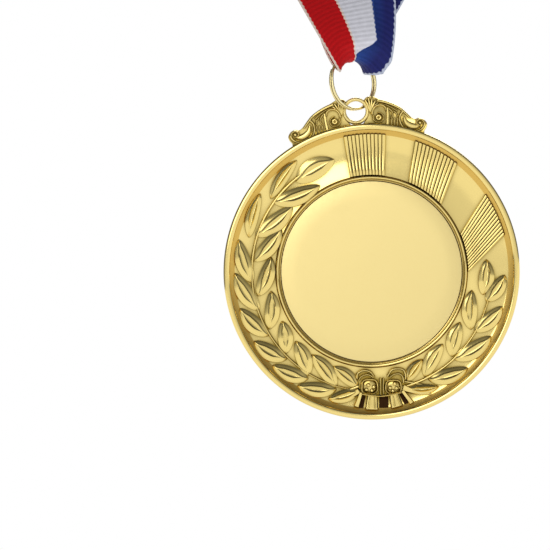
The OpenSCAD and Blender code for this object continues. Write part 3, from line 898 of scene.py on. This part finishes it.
def leg_thread(side, left, place):
    """Thread of a leg: out of the ring, fanning up to the flat strip."""
    fold = front_fold(left, place) if side < 0 else 0
    start = saddle_point(place, 90.0 * side)
    higher = flat_leg(side, np.full_like(place, FAN_LEN), place)
    ahead = flat_leg(side, np.full_like(place, FAN_LEN + 1), place) - higher
    lean = np.array([FAN_LEAN, 0, 0]) * place[:, None]
    rise = (np.array([0, 0, 1.0]) + lean) * FAN_LEN * 1.1
    t = left / FAN_LEN
    if t >= 1:
        return flat_leg(side, np.full_like(place, left), place) + fold
    h00, h10 = 2 * t ** 3 - 3 * t ** 2 + 1, t ** 3 - 2 * t ** 2 + t
    h01, h11 = -2 * t ** 3 + 3 * t ** 2, t ** 3 - t ** 2
    return h00 * start + h10 * rise + h01 * higher + h11 * ahead * FAN_LEN + fold


def weave_map(made, step):
    """UV map in mm: across the strip and along it."""
    mesh = made.data
    layer = mesh.uv_layers.new(name="weave")
    across = np.concatenate([STRIP_PLACES, STRIP_PLACES[::-1]]) * RIBBON_W / 2
    size = len(across)
    loops = np.zeros(len(mesh.loops), int)
    mesh.loops.foreach_get("vertex_index", loops)
    u = across[loops % size]
    v = (loops // size) * step
    layer.data.foreach_set("uv", np.stack([u, v], axis=1).astype(np.float32).ravel())


def make_ribbon():
    """One woven strip: down the front leg, under the wire, up the back leg, ends lapped at the nape."""
    place = STRIP_PLACES
    half_pitch = RIB_PITCH / 2
    stations = []
    for left in np.arange(RIBBON_HALF + SEAM_LAP, 0, -half_pitch):
        stations.append(leg_thread(-1, left, place))
    for around in np.linspace(-90, 90, 13):
        stations.append(saddle_point(place, around))
    for left in np.arange(half_pitch, RIBBON_HALF + SEAM_LAP, half_pitch):
        stations.append(leg_thread(1, left, place))
    skin = np.array(stations)
    along = np.gradient(skin, axis=0)
    across = np.gradient(skin, axis=1)
    out = np.cross(across, along)
    out /= np.linalg.norm(out, axis=2)[..., None] + 1e-12
    rib = np.where(np.arange(len(skin)) % 2 == 0, 1.0, -1.0)[:, None, None] * RIB_H
    half = RIBBON_T / 2 - 0.05
    edge = np.clip((1 - np.abs(place)) / 0.03, 0.55, 1)[None, :, None]
    front = skin + out * (half + rib) * edge
    back = skin - out * (half + rib) * edge
    shape = Shape()
    shape.loft(np.concatenate([front, back[:, ::-1]], axis=1))
    made = shape.piece("neck_ribbon", as_placed, [ribbon_cloth], "ribbon",
                       ["ribbon_front_leg", "ribbon_back_leg", "ribbon_bight"], 70)
    weave_map(made, half_pitch)


# ---------------------------------------------------------------- stage, light and camera
FLOOR_Z = DISC_Z - DISC_R - 90
FLOOR_HALF = 6000
FLOOR_FADE = [(0.2, 0.0), (0.62, 1.0)]  # metres from the nape, and share of plain white


def make_stage():
    """Pale floor that fades to white away from the middle."""
    mesh = bpy.data.meshes.new("floor")
    corners = [(-FLOOR_HALF, -FLOOR_HALF), (FLOOR_HALF, -FLOOR_HALF), (FLOOR_HALF, FLOOR_HALF),
               (-FLOOR_HALF, FLOOR_HALF)]
    mesh.from_pydata([(x * MM, y * MM, FLOOR_Z * MM) for x, y in corners], [], [(0, 1, 2, 3)])
    floor = bpy.data.objects.new("floor", mesh)
    bpy.context.scene.collection.objects.link(floor)
    made, tree, shader = node_material("pale_floor", (0.88, 0.88, 0.88), 0.0, 0.9)
    place = add_node(tree, "ShaderNodeTexCoord")
    length = add_node(tree, "ShaderNodeVectorMath", operation="LENGTH")
    tree.links.new(place.outputs["Object"], length.inputs[0])
    glow = add_node(tree, "ShaderNodeEmission")
    mix = add_node(tree, "ShaderNodeMixShader")
    tree.links.new(ramp(tree, length.outputs["Value"], FLOOR_FADE, "EASE"), mix.inputs[0])
    tree.links.new(shader.outputs[0], mix.inputs[1])
    tree.links.new(glow.outputs[0], mix.inputs[2])
    tree.links.new(mix.outputs[0], tree.nodes["Material Output"].inputs["Surface"])
    mesh.materials.append(made)


def area_light(name, place, target, size, power):
    """Rectangular light, in metres and watts, that the camera doesn't see."""
    data = bpy.data.lights.new(name, "AREA")
    data.shape = "RECTANGLE"
    data.size, data.size_y = size
    data.energy = power
    light = bpy.data.objects.new(name, data)
    light.location = place
    light.rotation_euler = (target - place).to_track_quat("-Z", "Y").to_euler()
    light.visible_camera = False
    bpy.context.scene.collection.objects.link(light)


LIGHT_DROP = math.radians(25)
# Tone of the studio round the medal, from straight behind it (0) to the side that it faces (1)
STUDIO_TONES = [
    (0.0, 0.55), (0.12, 0.35), (0.3, 0.09), (0.52, 0.09),
    (0.66, 0.22), (0.8, 0.58), (0.93, 0.80), (1.0, 0.83),
]
# Lights: name, place from the middle of the disc, width and height, all in metres, and power in watts
LIGHTS = [
    ("key", (-0.12, -0.45, 0.17), (0.3, 0.22), 0.45),
    ("low_fill", (0.3, -0.8, -0.5), (0.8, 0.5), 3.5),
    ("behind", (0.4, 1.3, 1.0), (1.0, 0.8), 12),
]


def make_light():
    """Soft studio in greys that the metal mirrors, plain white for the camera, and three soft lights."""
    world = bpy.data.worlds.new("studio")
    bpy.context.scene.world = world
    world.use_nodes = True
    tree = world.node_tree
    place = add_node(tree, "ShaderNodeTexCoord")
    facing = add_node(tree, "ShaderNodeVectorMath", operation="DOT_PRODUCT")
    facing.inputs[1].default_value = (0, -math.cos(LIGHT_DROP), -math.sin(LIGHT_DROP))
    tree.links.new(place.outputs["Generated"], facing.inputs[0])
    share = add_node(tree, "ShaderNodeMapRange")
    share.inputs["From Min"].default_value = -1.0
    tree.links.new(facing.outputs["Value"], share.inputs["Value"])
    tone = ramp(tree, share.outputs["Result"], STUDIO_TONES)
    back = tree.nodes["Background"]
    tree.links.new(tone, back.inputs["Color"])
    back.inputs["Strength"].default_value = 1.0
    white = add_node(tree, "ShaderNodeBackground")
    white.inputs["Color"].default_value = (1, 1, 1, 1)
    white.inputs["Strength"].default_value = 1.0
    path = add_node(tree, "ShaderNodeLightPath")
    mix = add_node(tree, "ShaderNodeMixShader")
    tree.links.new(path.outputs["Is Camera Ray"], mix.inputs[0])
    tree.links.new(back.outputs[0], mix.inputs[1])
    tree.links.new(white.outputs[0], mix.inputs[2])
    tree.links.new(mix.outputs[0], tree.nodes["World Output"].inputs["Surface"])
    target = Vector((0, HANG_Y, DISC_Z)) * MM
    for name, place, size, power in LIGHTS:
        area_light(name, target + Vector(place), target, size, power)


# Width seen at the medal, the camera's roll, and the disc's middle right of and above the frame's middle
FRAME_W = 120.8
ROLL = math.radians(5.6)
DISC_IN_FRAME = (21.19, 0.77)
LENS = 200.0
SENSOR = 36.0


def make_camera():
    """Long lens straight in front of the medal, rolled a little so that it hangs tilted."""
    data = bpy.data.cameras.new("camera")
    data.lens = LENS
    data.sensor_width = SENSOR
    camera = bpy.data.objects.new("camera", data)
    right = Vector((math.cos(ROLL), 0, -math.sin(ROLL)))
    up = Vector((math.sin(ROLL), 0, math.cos(ROLL)))
    front = Vector((0, -1, 0))
    aim = Vector((0, HANG_Y, DISC_Z)) - right * DISC_IN_FRAME[0] - up * DISC_IN_FRAME[1]
    reach = FRAME_W * LENS / SENSOR
    camera.matrix_world = Matrix.Translation((aim + front * reach) * MM) @ Matrix(
        (right, up, front)).transposed().to_4x4()
    data.clip_start = 0.01
    data.clip_end = 50
    bpy.context.scene.collection.objects.link(camera)
    bpy.context.scene.camera = camera


# ---------------------------------------------------------------- the scene
bpy.context.scene.view_settings.view_transform = "Standard"
make_camera()
make_stage()
make_light()
make_disc()
branch("left_laurel", LEFT_OUTER + LEFT_INNER + [LEFT_END], (31, 174), "laurel_left")
branch("right_laurel", RIGHT_OUTER + RIGHT_INNER + [RIGHT_END], (187, 257), "laurel_right")
for which in RAY_PANELS:
    ray_panel(which, "ray_panel_" + which)
make_bow()
crest_wing(-1, "crest_left", "crest_wing_left")
crest_wing(1, "crest_right", "crest_wing_right")
crest_scrolls(-1, "scrollwork_left", "crest_scroll_left")
crest_scrolls(1, "scrollwork_right", "crest_scroll_right")
make_eye()
make_ring()
make_ribbon()
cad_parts["seam_thread"].data.materials.clear()
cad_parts["seam_thread"].data.materials.append(thread)
